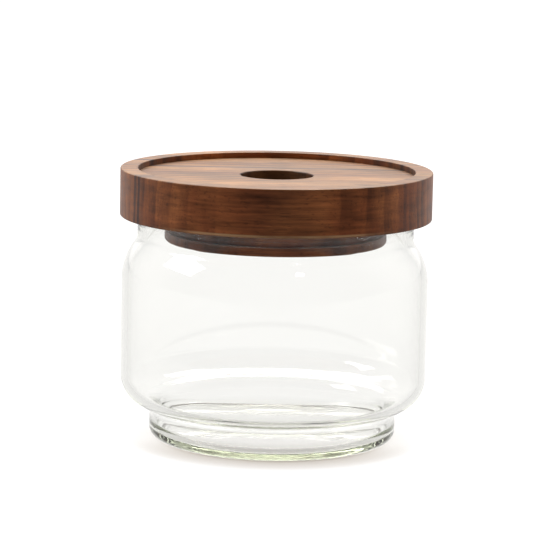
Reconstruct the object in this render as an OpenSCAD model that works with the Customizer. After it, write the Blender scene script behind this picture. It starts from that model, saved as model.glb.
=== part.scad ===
// Lidded glass canister: a clear glass jar on a stacking foot, closed by a turned
// hardwood lid. The lid's plug carries a clear silicone ring that seals the neck.
// Millimetres, +Z up. The origin is the centre of the base, on the surface it stands on.

/* [Jar] */
// Outer diameter of the jar's straight side
jar_d = 100; // [80:1:140]
// Height of the glass rim above the surface
jar_h = 73; // [56:0.5:180]
// Thickness of the glass, the same all over the side
wall = 2.3; // [1.6:0.1:3.2]
// Thickness of the glass floor above the surface
floor_t = 2.2; // [1.8:0.1:3.4]

/* [Jar shoulder and neck] */
// How far the neck steps in from the side
neck_inset = 5; // [4:0.5:8]
// Radius of the upper shoulder
shoulder_r = 20; // [14:1:24]
// Height of the neck and upper shoulder together, below the rim
shoulder_drop = 21; // [18:0.5:26]
// Fillet where the upper shoulder meets the neck
neck_fillet = 4; // [2:0.5:5]
// Radius of the rim's two rounded edges
rim_edge = 0.7; // [0.3:0.1:0.8]

/* [Jar foot] */
// How far the foot steps in from the side
foot_inset = 9.6; // [8:0.2:12]
// Height of the foot, up to the underside of the body
foot_h = 10.8; // [9:0.2:16]
// Radius of the lower shoulder
base_round = 10; // [8:0.5:14]
// Fillet where the foot meets the lower shoulder
foot_fillet = 3.6; // [1:0.1:4]
// Radius of the foot's outer bottom edge
foot_edge = 3.5; // [2:0.5:6]
// Radius inside the jar where its floor meets the foot
floor_fillet = 4; // [1:0.5:4]
// Width of the flat ring that the jar stands on
stand_w = 1.5; // [1:0.1:3]
// How far the underside rises in the middle
punt_h = 0.6; // [0.4:0.1:1]

/* [Lid] */
// How far the lid stands out past the jar's side
lid_overhang = 0.75; // [0:0.25:3]
// Thickness of the lid's disc
lid_t = 15.4; // [10:0.2:24]
// Rounding of the disc's outer edges
lid_edge = 0.4; // [0.3:0.1:2]
// Depth of the recess that takes another jar's foot
recess_h = 1.9; // [1:0.1:4]
// Gap all round between a stacked foot and the recess
stack_gap = 4.6; // [1:0.1:5]
// Rounding of the recess's edge
recess_edge = 0.3; // [0.1:0.1:0.6]
// Diameter of the finger hole
finger_d = 23.6; // [18:0.2:30]
// Rounding of the finger hole's edge
finger_edge = 0.5; // [0.2:0.1:1]

/* [Plug and seal] */
// Height of the plug below the disc
plug_h = 7.8; // [7:0.2:14]
// Gap all round between the plug and the neck, which the seal fills
plug_gap = 6.3; // [4:0.1:8]
// Rounding of the plug's lower edge
plug_edge = 0.6; // [0.2:0.1:1.5]
// Depth of the groove that holds the seal
groove_depth = 1.5; // [1:0.1:2.5]
// Height of the groove
groove_h = 4.2; // [3.6:0.1:5]
// Height of the wood left between the disc and the groove
groove_land = 0.9; // [0.5:0.1:1.5]
// Number of lips on the seal
lips = 3; // [2:1:3]
// Thickness of a lip
lip_t = 0.6; // [0.4:0.1:0.8]
// How far a lip slopes up from root to tip
lip_rise = 0.5; // [0:0.1:0.8]
// Clearance between the seal and its groove
seal_fit = 0.05; // [0.02:0.01:0.1]
// Clearance between the lips and the neck
lip_fit = 0.2; // [0.1:0.05:0.4]

/* [Hidden] */
$fn = 180;
arc_step = 7.5;        // largest turn between two points of an arc, in degrees
band_proud = 0.3;      // how far the seal's band stands out of its groove

jar_r = jar_d / 2;
neck_r = jar_r - neck_inset;
bore_r = neck_r - wall;
foot_r = jar_r - foot_inset;
stand_r = foot_r - foot_edge;

base_c = [jar_r - base_round, foot_h + base_round];
shoulder_c = [jar_r - shoulder_r, jar_h - shoulder_drop];

// Centres of the two fillets, each tangent to a wall and to a shoulder, and the
// angle at which each shoulder hands over to its fillet
foot_fillet_x = foot_r + foot_fillet;
foot_fillet_c = [foot_fillet_x,
                 base_c.y - sqrt((base_round + foot_fillet) ^ 2 - (foot_fillet_x - base_c.x) ^ 2)];
neck_fillet_x = neck_r + neck_fillet;
neck_fillet_c = [neck_fillet_x,
                 shoulder_c.y + sqrt((shoulder_r + neck_fillet) ^ 2 - (neck_fillet_x - shoulder_c.x) ^ 2)];
base_a = atan2(foot_fillet_c.y - base_c.y, foot_fillet_c.x - base_c.x);
shoulder_a = atan2(neck_fillet_c.y - shoulder_c.y, neck_fillet_c.x - shoulder_c.x);

lid_r = jar_r + lid_overhang;
lid_top = jar_h + lid_t;
recess_r = foot_r + stack_gap;
recess_z = lid_top - recess_h;
finger_r = finger_d / 2;

plug_r = bore_r - plug_gap;
plug_z = jar_h - plug_h;
groove_r = plug_r - groove_depth;
groove_top = jar_h - groove_land;
groove_bottom = groove_top - groove_h;

// Points of an arc about c, from angle a0 to angle a1
function arc(c, r, a0, a1) =
    let (n = max(2, ceil(abs(a1 - a0) / arc_step)))
    [for (i = [0:n]) let (a = a0 + (a1 - a0) * i / n) c + r * [cos(a), sin(a)]];

function reversed(points) = [for (i = [len(points) - 1:-1:0]) points[i]];

// The side's outline from foot to neck, moved into the glass by depth
function side(depth) = concat(
    arc(foot_fillet_c, foot_fillet + depth, 180, 180 + base_a),
    arc(base_c, base_round - depth, base_a, 0),
    arc(shoulder_c, shoulder_r - depth, 0, shoulder_a),
    arc(neck_fillet_c, neck_fillet + depth, shoulder_a - 180, -180));

// The shallow rise under the jar, from its centre to the flat ring
function underside() =
    let (r = stand_r - stand_w, dome = (r ^ 2 + punt_h ^ 2) / (2 * punt_h))
    [for (i = [0:6]) let (x = r * i / 6) [x, punt_h - dome + sqrt(dome ^ 2 - x ^ 2)]];

module glass_jar() {
    color([0.90, 0.95, 0.91, 0.35])
    rotate_extrude()
    polygon(concat(
        underside(),
        arc([stand_r, foot_edge], foot_edge, -90, 0),
        side(0),
        arc([neck_r - rim_edge, jar_h - rim_edge], rim_edge, 0, 90),
        arc([bore_r + rim_edge, jar_h - rim_edge], rim_edge, 90, 180),
        reversed(side(wall)),
        arc([foot_r - wall - floor_fillet, floor_t + floor_fillet], floor_fillet, 0, -90),
        [[0, floor_t]]));
}

module lid_disc() {
    color([0.74, 0.58, 0.42])
    rotate_extrude()
    polygon(concat(
        [[finger_r, jar_h]],
        arc([lid_r - lid_edge, jar_h + lid_edge], lid_edge, -90, 0),
        arc([lid_r - lid_edge, lid_top - lid_edge], lid_edge, 0, 90),
        arc([recess_r + recess_edge, lid_top - recess_edge], recess_edge, 90, 180),
        [[recess_r, recess_z]],
        arc([finger_r + finger_edge, recess_z - finger_edge], finger_edge, 90, 180)));
}

module lid_plug() {
    color([0.36, 0.23, 0.15])
    rotate_extrude()
    polygon(concat(
        [[0, plug_z]],
        arc([plug_r - plug_edge, plug_z + plug_edge], plug_edge, -90, 0),
        [[plug_r, groove_bottom], [groove_r, groove_bottom],
         [groove_r, groove_top], [plug_r, groove_top],
         [plug_r, jar_h], [0, jar_h]]));
}

// One lip in section: it springs from the band at height z and slopes up to its tip
module lip(z) {
    root = plug_r;
    tip = bore_r - lip_fit;
    polygon([[root, z], [tip, z + lip_rise], [tip, z + lip_rise + lip_t / 2], [root, z + lip_t]]);
}

module seal_ring() {
    band_bottom = groove_bottom + seal_fit;
    band_h = groove_h - 2 * seal_fit;
    band_r = groove_r + seal_fit;
    pitch = (band_h - lip_t) / (lips - 1);
    color([0.92, 0.93, 0.92, 0.5])
    rotate_extrude() {
        translate([band_r, band_bottom])
        square([plug_r + band_proud - band_r, band_h]);
        for (i = [0:lips - 1])
            lip(band_bottom + i * pitch);
    }
}

glass_jar();
lid_disc();
lid_plug();
seal_ring();
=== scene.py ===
"""Looks, light and camera for a lidded glass canister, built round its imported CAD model.

Lengths are metres unless a name says otherwise. +Z is up, the jar stands on z = 0 at the origin,
and the grain of the lid runs along X."""

import math

import bpy
import numpy as np
from mathutils import Matrix, Vector


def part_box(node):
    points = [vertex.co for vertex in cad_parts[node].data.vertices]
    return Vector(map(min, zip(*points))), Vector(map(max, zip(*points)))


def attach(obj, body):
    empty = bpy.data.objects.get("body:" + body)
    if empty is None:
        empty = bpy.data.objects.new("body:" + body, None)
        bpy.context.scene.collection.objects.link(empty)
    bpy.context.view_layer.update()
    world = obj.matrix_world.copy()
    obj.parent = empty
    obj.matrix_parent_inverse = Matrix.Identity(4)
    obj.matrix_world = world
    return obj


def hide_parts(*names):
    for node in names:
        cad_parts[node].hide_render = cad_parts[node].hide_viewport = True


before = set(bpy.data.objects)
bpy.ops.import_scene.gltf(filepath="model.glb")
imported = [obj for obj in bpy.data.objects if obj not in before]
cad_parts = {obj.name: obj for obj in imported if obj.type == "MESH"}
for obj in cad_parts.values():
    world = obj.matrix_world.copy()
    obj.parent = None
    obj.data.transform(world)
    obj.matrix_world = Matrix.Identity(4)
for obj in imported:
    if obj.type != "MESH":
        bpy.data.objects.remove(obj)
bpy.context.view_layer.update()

MM = 0.001
JAR_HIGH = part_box("glass_jar")[1]
JAR_R = JAR_HIGH.x
RIM_Z = JAR_HIGH.z
LID_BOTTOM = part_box("lid_disc")[0].z

# Sizes of the glass, as the CAD model has them
WALL = 2.3 * MM
FLOOR_T = 2.2 * MM
NECK_R = JAR_R - 5 * MM
BORE_R = NECK_R - WALL
SHOULDER_R = 20 * MM
SHOULDER_DROP = 21 * MM
NECK_FILLET = 4 * MM
RIM_EDGE = 0.7 * MM
FOOT_R = JAR_R - 9.6 * MM
FOOT_H = 10.8 * MM
BASE_ROUND = 10 * MM
FOOT_FILLET = 3.6 * MM
FOOT_EDGE = 3.5 * MM
FLOOR_FILLET = 4 * MM
STAND_W = 1.5 * MM
PUNT_H = 0.6 * MM

# Sizes of the lid
LID_EDGE = 0.4 * MM
RECESS_R = FOOT_R + 4.6 * MM
FINGER_R = 11.8 * MM


# ---------------------------------------------------------------- camera

CAMERA_AIM = Vector((-2.75, 0, 56.25)) * MM
CAMERA_DISTANCE = 0.9
CAMERA_ELEVATION = math.radians(9.15)
CAMERA_ROLL = math.radians(1.14)
CAMERA_SENSOR_MM = 36
CAMERA_LENS_MM = 186.2


def make_camera():
    data = bpy.data.cameras.new("camera")
    data.sensor_width = CAMERA_SENSOR_MM
    data.lens = CAMERA_LENS_MM
    data.clip_start, data.clip_end = 0.01, 50
    camera = bpy.data.objects.new("camera", data)
    bpy.context.scene.collection.objects.link(camera)
    turn = Matrix.Rotation(math.pi / 2 - CAMERA_ELEVATION, 4, "X") @ Matrix.Rotation(CAMERA_ROLL, 4, "Z")
    back = turn.to_3x3() @ Vector((0, 0, CAMERA_DISTANCE))
    camera.matrix_world = Matrix.Translation(CAMERA_AIM + back) @ turn
    bpy.context.scene.camera = camera


make_camera()


# ---------------------------------------------------------------- meshes

def arc(centre, radius, start, end, step=4.0):
    """Points of an arc from angle start to angle end, in degrees, no more than step apart."""
    n = max(3, math.ceil(abs(end - start) / step))
    angles = np.radians(np.linspace(start, end, n + 1))
    return [(centre[0] + radius * math.cos(a), centre[1] + radius * math.sin(a)) for a in angles]


def line(start, end, n):
    """The points between two corners, without the corners themselves."""
    t = np.arange(1, n) / n
    return [(start[0] + (end[0] - start[0]) * k, start[1] + (end[1] - start[1]) * k) for k in t]


def lathe(name, profile, segments=256):
    """A closed mesh: the profile, a loop of (radius, height) points, turned about Z."""
    on_axis = [i for i, (r, z) in enumerate(profile) if r < 1e-7]
    ring_of, verts = [], []
    angles = np.linspace(0, 2 * math.pi, segments, endpoint=False)
    for i, (r, z) in enumerate(profile):
        if i in on_axis:
            ring_of.append([len(verts)] * segments)
            verts.append((0, 0, z))
        else:
            ring_of.append(list(range(len(verts), len(verts) + segments)))
            verts.extend((r * math.cos(a), r * math.sin(a), z) for a in angles)
    faces = []
    for i in range(len(profile)):
        low, high = ring_of[i], ring_of[(i + 1) % len(profile)]
        if i in on_axis and (i + 1) % len(profile) in on_axis:
            continue
        for k in range(segments):
            m = (k + 1) % segments
            corners = list(dict.fromkeys((low[k], low[m], high[m], high[k])))
            faces.append(corners)
    mesh = bpy.data.meshes.new(name)
    mesh.from_pydata(verts, [], faces)
    mesh.validate()
    mesh.shade_smooth()
    piece = bpy.data.objects.new(name, mesh)
    bpy.context.scene.collection.objects.link(piece)
    return piece


def fillet_between(wall_x, radius, centre, shoulder, below):
    """Centre of a fillet against the wall at wall_x and the shoulder arc, and the arc's angle there."""
    x = wall_x + radius
    rise = math.sqrt((shoulder + radius) ** 2 - (x - centre[0]) ** 2)
    z = centre[1] - rise if below else centre[1] + rise
    return (x, z), math.degrees(math.atan2(z - centre[1], x - centre[0]))


def jar_profile():
    """The jar's outline from the middle of its underside, up outside, down inside and back to the axis."""
    base_c = (JAR_R - BASE_ROUND, FOOT_H + BASE_ROUND)
    shoulder_c = (JAR_R - SHOULDER_R, RIM_Z - SHOULDER_DROP)
    foot_c, base_a = fillet_between(FOOT_R, FOOT_FILLET, base_c, BASE_ROUND, True)
    neck_c, shoulder_a = fillet_between(NECK_R, NECK_FILLET, shoulder_c, SHOULDER_R, False)
    stand_r = FOOT_R - FOOT_EDGE

    def side(depth):
        """The outline from the foot's fillet up to the neck, this deep in the glass."""
        lower = arc(foot_c, FOOT_FILLET + depth, 180, 180 + base_a) + arc(
            base_c, BASE_ROUND - depth, base_a, 0)
        upper = arc(shoulder_c, SHOULDER_R - depth, 0, shoulder_a) + arc(
            neck_c, NECK_FILLET + depth, shoulder_a - 180, -180)
        return lower + line(lower[-1], upper[0], 24) + upper

    dome_r = stand_r - STAND_W
    dome = (dome_r**2 + PUNT_H**2) / (2 * PUNT_H)
    underside = [(x, PUNT_H - dome + math.sqrt(dome**2 - x**2)) for x in np.linspace(0, dome_r, 14)]
    inner_r = FOOT_R - WALL
    inner_floor = arc((inner_r - FLOOR_FILLET, FLOOR_T + FLOOR_FILLET), FLOOR_FILLET, 0, -90)
    points = (
        underside
        + arc((stand_r, FOOT_EDGE), FOOT_EDGE, -90, 0)
        + side(0)
        + arc((NECK_R - RIM_EDGE, RIM_Z - RIM_EDGE), RIM_EDGE, 0, 90, 10)
        + arc((BORE_R + RIM_EDGE, RIM_Z - RIM_EDGE), RIM_EDGE, 90, 180, 10)
        + side(WALL)[::-1]
        + inner_floor
        + line(inner_floor[-1], (0, FLOOR_T), 14)
        + [(0, FLOOR_T)]
    )
    clean = [points[0]]
    for p in points[1:]:
        if math.dist(p, clean[-1]) > 1e-6:
            clean.append(p)
    return clean


# ---------------------------------------------------------------- materials

def new_material(name):
    material = bpy.data.materials.new(name)
    material.use_nodes = True
    material.node_tree.nodes.clear()
    return material, material.node_tree


def put(tree, socket, value):
    """Gives an input socket a value, or links it to an output socket."""
    if isinstance(value, bpy.types.NodeSocket):
        tree.links.new(value, socket)
    else:
        socket.default_value = value


def maths(tree, operation, *values, clamp=False):
    node = tree.nodes.new("ShaderNodeMath")
    node.operation = operation
    node.use_clamp = clamp
    for socket, value in zip(node.inputs, values):
        put(tree, socket, value)
    return node.outputs[0]


def length(tree, a, b):
    """The length of a flat vector whose parts are the values a and b."""
    return maths(tree, "SQRT", maths(tree, "ADD", maths(tree, "MULTIPLY", a, a),
                                     maths(tree, "MULTIPLY", b, b)))


def combine(tree, x, y, z):
    node = tree.nodes.new("ShaderNodeCombineXYZ")
    for socket, value in zip(node.inputs, (x, y, z)):
        put(tree, socket, value)
    return node.outputs[0]


def noise_at(tree, vector, sizes, detail=2.0, roughness=0.5, shift=0.0):
    """Noise from 0 to 1 whose features have these sizes along the three parts of vector."""
    place = tree.nodes.new("ShaderNodeVectorMath")
    place.operation = "MULTIPLY_ADD"
    put(tree, place.inputs[0], vector)
    place.inputs[1].default_value = [1 / size for size in sizes]
    place.inputs[2].default_value = (shift, shift, shift)
    node = tree.nodes.new("ShaderNodeTexNoise")
    tree.links.new(place.outputs[0], node.inputs["Vector"])
    node.inputs["Scale"].default_value = 1
    node.inputs["Detail"].default_value = detail
    node.inputs["Roughness"].default_value = roughness
    return node.outputs["Fac"]


def stretch(tree, value, from_low, from_high, to_low=0.0, to_high=1.0, smooth=True):
    """Value mapped from one range to another and held at its ends."""
    node = tree.nodes.new("ShaderNodeMapRange")
    node.interpolation_type = "SMOOTHSTEP" if smooth else "LINEAR"
    for socket, part in zip(node.inputs, (value, from_low, from_high, to_low, to_high)):
        put(tree, socket, part)
    return node.outputs[0]


def blend_colours(tree, factor, low, high, kind="MIX"):
    node = tree.nodes.new("ShaderNodeMix")
    node.data_type = "RGBA"
    node.blend_type = kind
    put(tree, node.inputs["Factor"], factor)
    for socket, colour in ((node.inputs[6], low), (node.inputs[7], high)):
        put(tree, socket, colour if isinstance(colour, bpy.types.NodeSocket) else (*colour, 1))
    return node.outputs[2]


def band(tree, value, middle, width):
    """1 where value is at or very near middle, down to 0 at width away from it."""
    away = maths(tree, "ABSOLUTE", maths(tree, "SUBTRACT", value, middle))
    return stretch(tree, away, 0.15 * width, width, 1, 0)


# Where the pith of the tree would lie, how far apart its rings are, and how far they stray
PITH_Y = 200 * MM
PITH_Z = 80 * MM
RING_PITCH = 4.4 * MM
WANDER = 6 * MM
RIPPLE = 1.6 * MM

# Sizes of the features of each noise, as (along the grain, across it, up)
WANDER_SIZE = (240 * MM, 34 * MM, 60 * MM)
RIPPLE_SIZE = (24 * MM, 9 * MM, 14 * MM)
VIGOUR_SIZE = (60 * MM, 14 * MM, 30 * MM)
TINT_SIZE = (150 * MM, 10 * MM, 34 * MM)
FIBRE_SIZE = (34 * MM, 0.7 * MM, 5 * MM)
MOTTLE_SIZE = (17 * MM, 14 * MM, 4.2 * MM)
PORE_SIZE = (6 * MM, 0.45 * MM, 0.7 * MM)
FACE_LINE_SIZE = (26 * MM, 5 * MM, 0.9 * MM)

# How much darker late wood, pores and end grain are, and how high the fibres stand
LATE_STRENGTH = 0.75
PORE_SHADE = 0.26
END_SHADE = 0.3
RELIEF = 0.06 * MM
RELIEF_STRENGTH = 0.35

# How streaks end, how far the sides of patches stray, how wide the painted shade at the recess wall's
# ends is, and how wide the painted highlight along the lid's lower edge is
STREAK_FADE = 12 * MM
PATCH_WANDER = 60 * MM
PATCH_RAGGED = 10 * MM
CORNER_SHADE_W = 0.5 * MM
CORNER_SHADE_STRENGTH = 0.75
EDGE_HIGHLIGHT_W = 0.6 * MM

# Colours of the wood, and tints that multiply them in places: painted light on the top, painted shade on
# the side, in the bore and at the recess wall's ends, and a painted highlight colour for the lid's lower
# edge
WOOD_LIGHT = (0.365, 0.16, 0.058)
WOOD_MID = (0.235, 0.083, 0.029)
WOOD_DARK = (0.08, 0.026, 0.012)
WOOD_GREY = (0.045, 0.02, 0.021)
EDGE_PAINTED_HIGHLIGHT = (0.62, 0.38, 0.2)
TOP_PAINTED_LIGHT = (1.1, 1.23, 1.3)
SIDE_PAINTED_SHADE = (1.16, 0.87, 0.71)
BORE_PAINTED_SHADE = (0.5, 0.5, 0.5)
CORNER_PAINTED_SHADE = (0.3, 0.3, 0.3)
HEART_TINT = (0.54, 0.4, 0.38)


def acacia(name, streaks, patches, gloss, highlight_z=-1.0, shift=0.0, tone=1.0):
    """Oiled acacia: growth rings about a pith beyond the lid's back, with the grain along X.

    streaks are (distance in front of the axis, half width, strength, lowest x, highest x);
    patches are redder, darker places on the front and back of the edge, as (middle x, half width,
    strength); gloss is the specular level; highlight_z is the height of the edge where a highlight is
    painted in a paler colour; shift moves every noise, so that two pieces of wood differ; tone makes the
    wood paler above 1."""
    material, tree = new_material(name)
    nodes, links = tree.nodes, tree.links
    place = nodes.new("ShaderNodeTexCoord").outputs["Object"]
    split = nodes.new("ShaderNodeSeparateXYZ")
    links.new(place, split.inputs[0])
    x, y, z = split.outputs

    # distance from the pith, with the slow wander that real rings have
    wander = noise_at(tree, place, WANDER_SIZE, 2, 0.5, 3 + shift)
    ripple = noise_at(tree, place, RIPPLE_SIZE, 2, 0.5, 9 + shift)
    reach = length(tree, maths(tree, "SUBTRACT", PITH_Y, y), maths(tree, "SUBTRACT", z, PITH_Z))
    reach = maths(tree, "MULTIPLY_ADD", wander, WANDER, reach)
    reach = maths(tree, "MULTIPLY_ADD", ripple, RIPPLE, reach)
    grain = combine(tree, x, reach, z)

    # rings: a pale early part that darkens to a fine late line
    turn = maths(tree, "FRACT", maths(tree, "DIVIDE", reach, RING_PITCH))
    late = maths(tree, "MULTIPLY", stretch(tree, turn, 0.15, 0.86), stretch(tree, turn, 0.9, 1.0, 1, 0))
    vigour = noise_at(tree, grain, VIGOUR_SIZE, 2, 0.5, 17 + shift)
    late = maths(tree, "MULTIPLY", late, stretch(tree, vigour, 0.35, 0.7, 0.15, 1))

    tint = noise_at(tree, grain, TINT_SIZE, 3, 0.55, 31 + shift)
    fibre = noise_at(tree, grain, FIBRE_SIZE, 4, 0.68, 43 + shift)
    mottle = noise_at(tree, place, MOTTLE_SIZE, 4, 0.6, 57 + shift)
    pore = noise_at(tree, grain, PORE_SIZE, 1, 0.5, 71 + shift)
    pores = stretch(tree, pore, 0.6, 0.7)

    colour = blend_colours(tree, stretch(tree, tint, 0.34, 0.68), WOOD_LIGHT, WOOD_MID)
    colour = blend_colours(tree, maths(tree, "MULTIPLY", late, LATE_STRENGTH), colour, WOOD_DARK)
    for middle, width, strength, low_x, high_x in streaks:
        mark = band(tree, reach, PITH_Y + middle + (WANDER + RIPPLE) / 2, width)
        fade = maths(tree, "MULTIPLY", stretch(tree, x, low_x, low_x + STREAK_FADE),
                     stretch(tree, x, high_x - STREAK_FADE, high_x, 1, 0))
        mark = maths(tree, "MULTIPLY", maths(tree, "MULTIPLY", mark, fade), strength)
        colour = blend_colours(tree, mark, colour, WOOD_GREY)

    # the ends and the front and back of the edge are cut differently, and show the fibres differently
    facing = nodes.new("ShaderNodeSeparateXYZ")
    links.new(nodes.new("ShaderNodeTexCoord").outputs["Normal"], facing.inputs[0])
    end_grain = maths(tree, "MULTIPLY", facing.outputs[0], facing.outputs[0])
    face_grain = maths(tree, "MULTIPLY", facing.outputs[1], facing.outputs[1])
    face_lines = noise_at(tree, place, FACE_LINE_SIZE, 3, 0.6, 83 + shift)
    fibre = maths(tree, "ADD", maths(tree, "MULTIPLY", fibre, maths(tree, "SUBTRACT", 1, face_grain)),
                  maths(tree, "MULTIPLY", face_lines, face_grain))
    shade = maths(tree, "ADD", stretch(tree, fibre, 0.3, 0.7, 0.58, 1.36, False),
                  stretch(tree, mottle, 0.3, 0.7, -0.32, 0.3, False))
    shade = maths(tree, "MULTIPLY", shade, maths(tree, "MULTIPLY_ADD", pores, -PORE_SHADE, 1))
    shade = maths(tree, "MULTIPLY", shade, maths(tree, "MULTIPLY_ADD", end_grain, -END_SHADE, tone))
    colour = blend_colours(tree, 1.0, colour, combine(tree, shade, shade, shade), "MULTIPLY")

    # painted light and shade: the top is painted paler and yellower where the light from above and behind
    # falls, the turned edge darker and redder as painted shade, and the bore darker still as painted shade
    edge = blend_colours(tree, maths(tree, "ABSOLUTE", facing.outputs[2]), SIDE_PAINTED_SHADE, TOP_PAINTED_LIGHT)
    from_axis = length(tree, x, y)
    edge = blend_colours(tree, stretch(tree, from_axis, FINGER_R + 0.1 * MM, FINGER_R + 0.5 * MM),
                         BORE_PAINTED_SHADE, edge)
    # painted shade on the recess wall where it faces left and right
    recess_shade = maths(tree, "MULTIPLY", band(tree, from_axis, RECESS_R, CORNER_SHADE_W), end_grain)
    edge = blend_colours(tree, maths(tree, "MULTIPLY", recess_shade, CORNER_SHADE_STRENGTH), edge, CORNER_PAINTED_SHADE)
    colour = blend_colours(tree, 1.0, colour, edge, "MULTIPLY")

    # patches of redder heartwood on the edge, with wandering and ragged sides
    bent_x = maths(tree, "MULTIPLY_ADD", wander, PATCH_WANDER, maths(tree, "SUBTRACT", x, PATCH_WANDER / 2))
    bent_x = maths(tree, "MULTIPLY_ADD", mottle, PATCH_RAGGED,
                   maths(tree, "SUBTRACT", bent_x, PATCH_RAGGED / 2))
    for middle, half_width, strength in patches:
        patch = maths(tree, "MULTIPLY", band(tree, bent_x, middle, half_width), face_grain)
        colour = blend_colours(tree, maths(tree, "MULTIPLY", patch, strength), colour,
                               blend_colours(tree, 1.0, colour, HEART_TINT, "MULTIPLY"))
    # a painted highlight: paler wood along the lid's lower edge, where it catches the floor's light
    edge_highlight = maths(tree, "MULTIPLY", band(tree, z, highlight_z, EDGE_HIGHLIGHT_W),
                 stretch(tree, mottle, 0.35, 0.6, 0.35, 0.8))
    edge_highlight = maths(tree, "MULTIPLY", edge_highlight, stretch(tree, face_grain, 0.3, 0.95))
    colour = blend_colours(tree, edge_highlight, colour, EDGE_PAINTED_HIGHLIGHT)

    relief = maths(tree, "SUBTRACT", maths(tree, "MULTIPLY", fibre, 0.5), pores)
    bump = nodes.new("ShaderNodeBump")
    bump.inputs["Strength"].default_value = RELIEF_STRENGTH
    bump.inputs["Distance"].default_value = RELIEF
    links.new(relief, bump.inputs["Height"])

    wood = nodes.new("ShaderNodeBsdfPrincipled")
    links.new(colour, wood.inputs["Base Color"])
    links.new(stretch(tree, fibre, 0.3, 0.7, 0.36, 0.52, False), wood.inputs["Roughness"])
    wood.inputs["Specular IOR Level"].default_value = gloss
    links.new(bump.outputs[0], wood.inputs["Normal"])
    out = nodes.new("ShaderNodeOutputMaterial")
    links.new(wood.outputs[0], out.inputs["Surface"])
    return material


def clear_material(name, ior, roughness, veil, shadow, depth_colour, density):
    """A clear solid that lets light through to what it holds, tinted by how much of it light crosses.

    veil is how much of it is plainly seen through, with no bending at all; shadow is what it lets
    through of lamp light and bounced light; depth_colour and density are those of its inside."""
    material, tree = new_material(name)
    nodes, links = tree.nodes, tree.links
    solid = nodes.new("ShaderNodeBsdfPrincipled")
    solid.inputs["Base Color"].default_value = (1, 1, 1, 1)
    solid.inputs["Transmission Weight"].default_value = 1
    solid.inputs["Roughness"].default_value = roughness
    solid.inputs["IOR"].default_value = ior
    clear = nodes.new("ShaderNodeBsdfTransparent")
    clear.inputs["Color"].default_value = (*shadow, 1)
    path = nodes.new("ShaderNodeLightPath")
    surface = solid.outputs[0]
    for share in (veil, path.outputs["Is Diffuse Ray"], path.outputs["Is Shadow Ray"]):
        if share == 0:
            continue
        mix = nodes.new("ShaderNodeMixShader")
        put(tree, mix.inputs[0], share)
        links.new(surface, mix.inputs[1])
        links.new(clear.outputs[0], mix.inputs[2])
        surface = mix.outputs[0]
    out = nodes.new("ShaderNodeOutputMaterial")
    links.new(surface, out.inputs["Surface"])
    depth = nodes.new("ShaderNodeVolumeAbsorption")
    depth.inputs["Color"].default_value = (*depth_colour, 1)
    depth.inputs["Density"].default_value = density
    links.new(depth.outputs[0], out.inputs["Volume"])
    return material


def set_material(piece, material):
    """Gives the piece this material and no other."""
    piece.data.materials.clear()
    piece.data.materials.append(material)


# ---------------------------------------------------------------- pieces

GLASS_IOR = 1.5
GLASS_SHADOW = (0.9, 0.9, 0.89)
GLASS_DEPTH = (0.6, 0.72, 0.25)
GLASS_DENSITY = 8
SILICONE_IOR = 1.41
SILICONE_ROUGHNESS = 0.05
SILICONE_VEIL = 0.96
SILICONE_SHADOW = (1, 1, 1)
SILICONE_DEPTH = (0.8, 0.8, 0.8)
SILICONE_DENSITY = 10

jar = lathe("jar_glass", jar_profile())
set_material(jar, clear_material("jar_glass", ior=GLASS_IOR, roughness=0, veil=0, shadow=GLASS_SHADOW,
                                 depth_colour=GLASS_DEPTH, density=GLASS_DENSITY))
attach(jar, "jar")
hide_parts("glass_jar")

# Dark streaks and heartwood patches of the two pieces of wood, as acacia() takes them
DISC_STREAKS = (
    (-17 * MM, 2.2 * MM, 0.85, -60 * MM, 60 * MM),
    (-24 * MM, 1.4 * MM, 0.45, -60 * MM, 60 * MM),
    (-30 * MM, 1.8 * MM, 0.5, -60 * MM, 60 * MM),
    (23.4 * MM, 1.0 * MM, 0.75, -70 * MM, -30 * MM),
    (26.0 * MM, 1.3 * MM, 0.9, -70 * MM, -30 * MM),
    (31 * MM, 1.1 * MM, 0.5, 26 * MM, 70 * MM),
    (21 * MM, 1.4 * MM, 0.6, 30 * MM, 70 * MM),
)
DISC_PATCHES = ((-10 * MM, 12 * MM, 0.6), (29 * MM, 12 * MM, 0.4))
DISC_GLOSS = 0.38
# the height of the painted highlight along the lid's lower edge
DISC_HIGHLIGHT_Z = LID_BOTTOM + 1.5 * LID_EDGE
PLUG_STREAKS = ((30 * MM, 3 * MM, 0.6, -60 * MM, 60 * MM),)
PLUG_PATCHES = ((-26 * MM, 9 * MM, 0.6), (-3 * MM, 7 * MM, 0.5), (20 * MM, 6 * MM, 0.6))
PLUG_GLOSS = 0.12

set_material(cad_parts["lid_disc"],
             acacia("acacia_disc", DISC_STREAKS, DISC_PATCHES, DISC_GLOSS, DISC_HIGHLIGHT_Z))
set_material(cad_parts["lid_plug"],
             acacia("acacia_plug", PLUG_STREAKS, PLUG_PATCHES, PLUG_GLOSS, shift=5.3, tone=1.05))
set_material(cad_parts["seal_ring"],
             clear_material("seal_silicone", ior=SILICONE_IOR, roughness=SILICONE_ROUGHNESS,
                            veil=SILICONE_VEIL, shadow=SILICONE_SHADOW,
                            depth_colour=SILICONE_DEPTH, density=SILICONE_DENSITY))


# ---------------------------------------------------------------- studio

LIGHT_AIM = (0, 0, 80 * MM)
FLOOR_R = 6.0
FLOOR_COLOUR = (0.18, 0.178, 0.176)

# The floor's glow to the camera and to other rays, and its shares of the latter: in mirror images,
# of its front and of its back, and as light on rough surfaces
BACKDROP_GLOW = 0.95
FLOOR_GLOW = 0.785
MIRRORED_FRONT = 0.06
MIRRORED_BACK = 0.78
MIRROR_FRONT_Y = -0.44
MIRROR_BACK_Y = -0.24
BOUNCE_GLOW = 0.26

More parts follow.
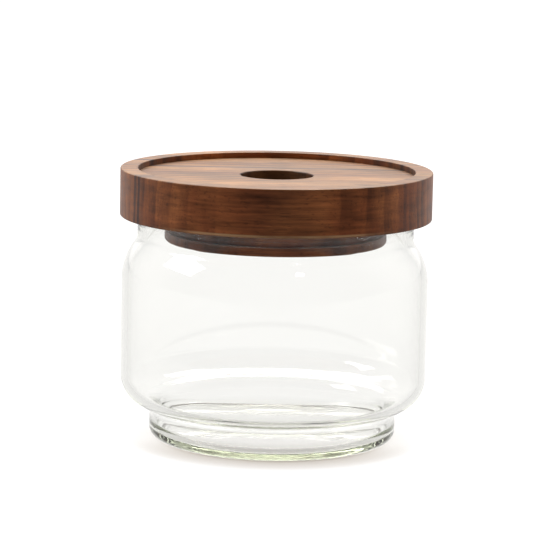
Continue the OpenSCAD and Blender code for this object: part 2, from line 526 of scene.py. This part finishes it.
# The shade under and beside the foot; the camera sees all of it, other rays only a part
CONTACT_REACH = 13 * MM
CONTACT_SHADE = 0.62
CONTACT_UNSEEN = 0.2
CONTACT_BESIDE = 0.3
CONTACT_FRONT_Y = -35 * MM
CONTACT_BESIDE_Y = -5 * MM
CONTACT_COLOUR = (1, 0.8, 0.6)


def make_floor():
    """A white disc that glows, with a soft shade where something stands close above it.

    The shade is strongest in front of the object. The glow is weaker in mirror images of the floor,
    most of all of its front, and weaker again as light on what isn't glossy."""
    bpy.ops.mesh.primitive_circle_add(vertices=96, radius=FLOOR_R, fill_type="NGON")
    floor = bpy.context.object
    floor.name = "floor"
    material, tree = new_material("floor")
    diffuse = tree.nodes.new("ShaderNodeBsdfDiffuse")
    diffuse.inputs["Color"].default_value = (*FLOOR_COLOUR, 1)
    path = tree.nodes.new("ShaderNodeLightPath")
    seen = path.outputs["Is Camera Ray"]
    near = tree.nodes.new("ShaderNodeAmbientOcclusion")
    near.inputs["Distance"].default_value = CONTACT_REACH
    near.samples = 8
    place = tree.nodes.new("ShaderNodeSeparateXYZ")
    tree.links.new(tree.nodes.new("ShaderNodeTexCoord").outputs["Object"], place.inputs[0])
    shade = maths(tree, "MULTIPLY", maths(tree, "SUBTRACT", 1, near.outputs["AO"]),
                  stretch(tree, seen, 0, 1, CONTACT_UNSEEN * CONTACT_SHADE, CONTACT_SHADE, False))
    beside = stretch(tree, place.outputs["Y"], CONTACT_FRONT_Y, CONTACT_BESIDE_Y, 1, CONTACT_BESIDE)
    shade = maths(tree, "MULTIPLY", shade, beside)
    strength = maths(tree, "MULTIPLY", maths(tree, "SUBTRACT", 1, shade),
                     stretch(tree, seen, 0, 1, FLOOR_GLOW, BACKDROP_GLOW, False))
    mirrored = stretch(tree, place.outputs["Y"], MIRROR_FRONT_Y, MIRROR_BACK_Y, MIRRORED_FRONT,
                       MIRRORED_BACK)
    mirrored = stretch(tree, path.outputs["Glossy Depth"], 0, 1, 1, mirrored, False)
    bounced = stretch(tree, path.outputs["Is Diffuse Ray"], 0, 1, 1, BOUNCE_GLOW, False)
    strength = maths(tree, "MULTIPLY", strength, maths(tree, "MULTIPLY", mirrored, bounced))
    glow = tree.nodes.new("ShaderNodeEmission")
    put(tree, glow.inputs["Strength"], strength)
    put(tree, glow.inputs["Color"], blend_colours(tree, shade, (1, 1, 1), CONTACT_COLOUR))
    add = tree.nodes.new("ShaderNodeAddShader")
    out = tree.nodes.new("ShaderNodeOutputMaterial")
    tree.links.new(diffuse.outputs[0], add.inputs[0])
    tree.links.new(glow.outputs[0], add.inputs[1])
    tree.links.new(add.outputs[0], out.inputs["Surface"])
    set_material(floor, material)
    floor.visible_glossy = False


def area_light(name, place, size, power, colour):
    """A rectangular lamp that points at the lid and isn't seen by the camera; power in watts."""
    data = bpy.data.lights.new(name, "AREA")
    data.shape = "RECTANGLE"
    data.size, data.size_y = size
    data.energy = power
    data.color = colour
    lamp = bpy.data.objects.new(name, data)
    bpy.context.scene.collection.objects.link(lamp)
    lamp.location = place
    lamp.rotation_euler = (Vector(LIGHT_AIM) - Vector(place)).to_track_quat("-Z", "Y").to_euler()
    lamp.visible_camera = False
    return lamp


# Brightness of the studio in front and behind, and its shares below and at the sides
WORLD_COLOUR = (1, 0.985, 0.98)
WORLD_FRONT = 0.03
WORLD_BACK = 1.15
WORLD_BELOW = 0.9
WORLD_ASIDE = 0.72


def make_world():
    """A white studio: bright behind the object, dark on the camera's side, dimmer below and aside."""
    world = bpy.data.worlds.new("studio")
    bpy.context.scene.world = world
    world.use_nodes = True
    tree = world.node_tree
    tree.nodes.clear()
    place = tree.nodes.new("ShaderNodeTexCoord")
    split = tree.nodes.new("ShaderNodeSeparateXYZ")
    tree.links.new(place.outputs["Generated"], split.inputs[0])
    behind = stretch(tree, split.outputs["Y"], -0.45, 0.6, WORLD_FRONT, WORLD_BACK)
    below = stretch(tree, split.outputs["Z"], -0.08, 0.02, WORLD_BELOW, 1)
    aside = stretch(tree, maths(tree, "ABSOLUTE", split.outputs["X"]), 0.25, 0.75, 1, WORLD_ASIDE)
    sky = tree.nodes.new("ShaderNodeBackground")
    sky.inputs["Color"].default_value = (*WORLD_COLOUR, 1)
    strength = maths(tree, "MULTIPLY", maths(tree, "MULTIPLY", behind, below), aside)
    put(tree, sky.inputs["Strength"], strength)
    out = tree.nodes.new("ShaderNodeOutputWorld")
    tree.links.new(sky.outputs[0], out.inputs["Surface"])


make_floor()
make_world()

# Lamps as (name, place, size, power, colour)
area_light("left_box", (-0.85, -0.05, 0.66), (0.5, 0.35), 4.4, (1, 0.97, 0.93))
right_box = area_light("right_box", (0.85, 0.0, 0.66), (0.35, 0.35), 2.7, (1, 0.97, 0.93))
right_box.visible_glossy = right_box.visible_transmission = False
area_light("front_box", (0.32, -0.75, 0.9), (0.1, 0.08), 0.65, (1, 0.96, 0.9))
area_light("back_box", (0, 0.7, 0.9), (0.9, 0.4), 9, (1, 0.97, 0.92))

scene = bpy.context.scene
scene.view_settings.view_transform = "Standard"
scene.view_settings.look = "None"
scene.cycles.max_bounces = 32
scene.cycles.glossy_bounces = 24
scene.cycles.transmission_bounces = 32
scene.cycles.transparent_max_bounces = 32
scene.cycles.caustics_reflective = False
scene.cycles.caustics_refractive = False
scene.cycles.use_denoising = True
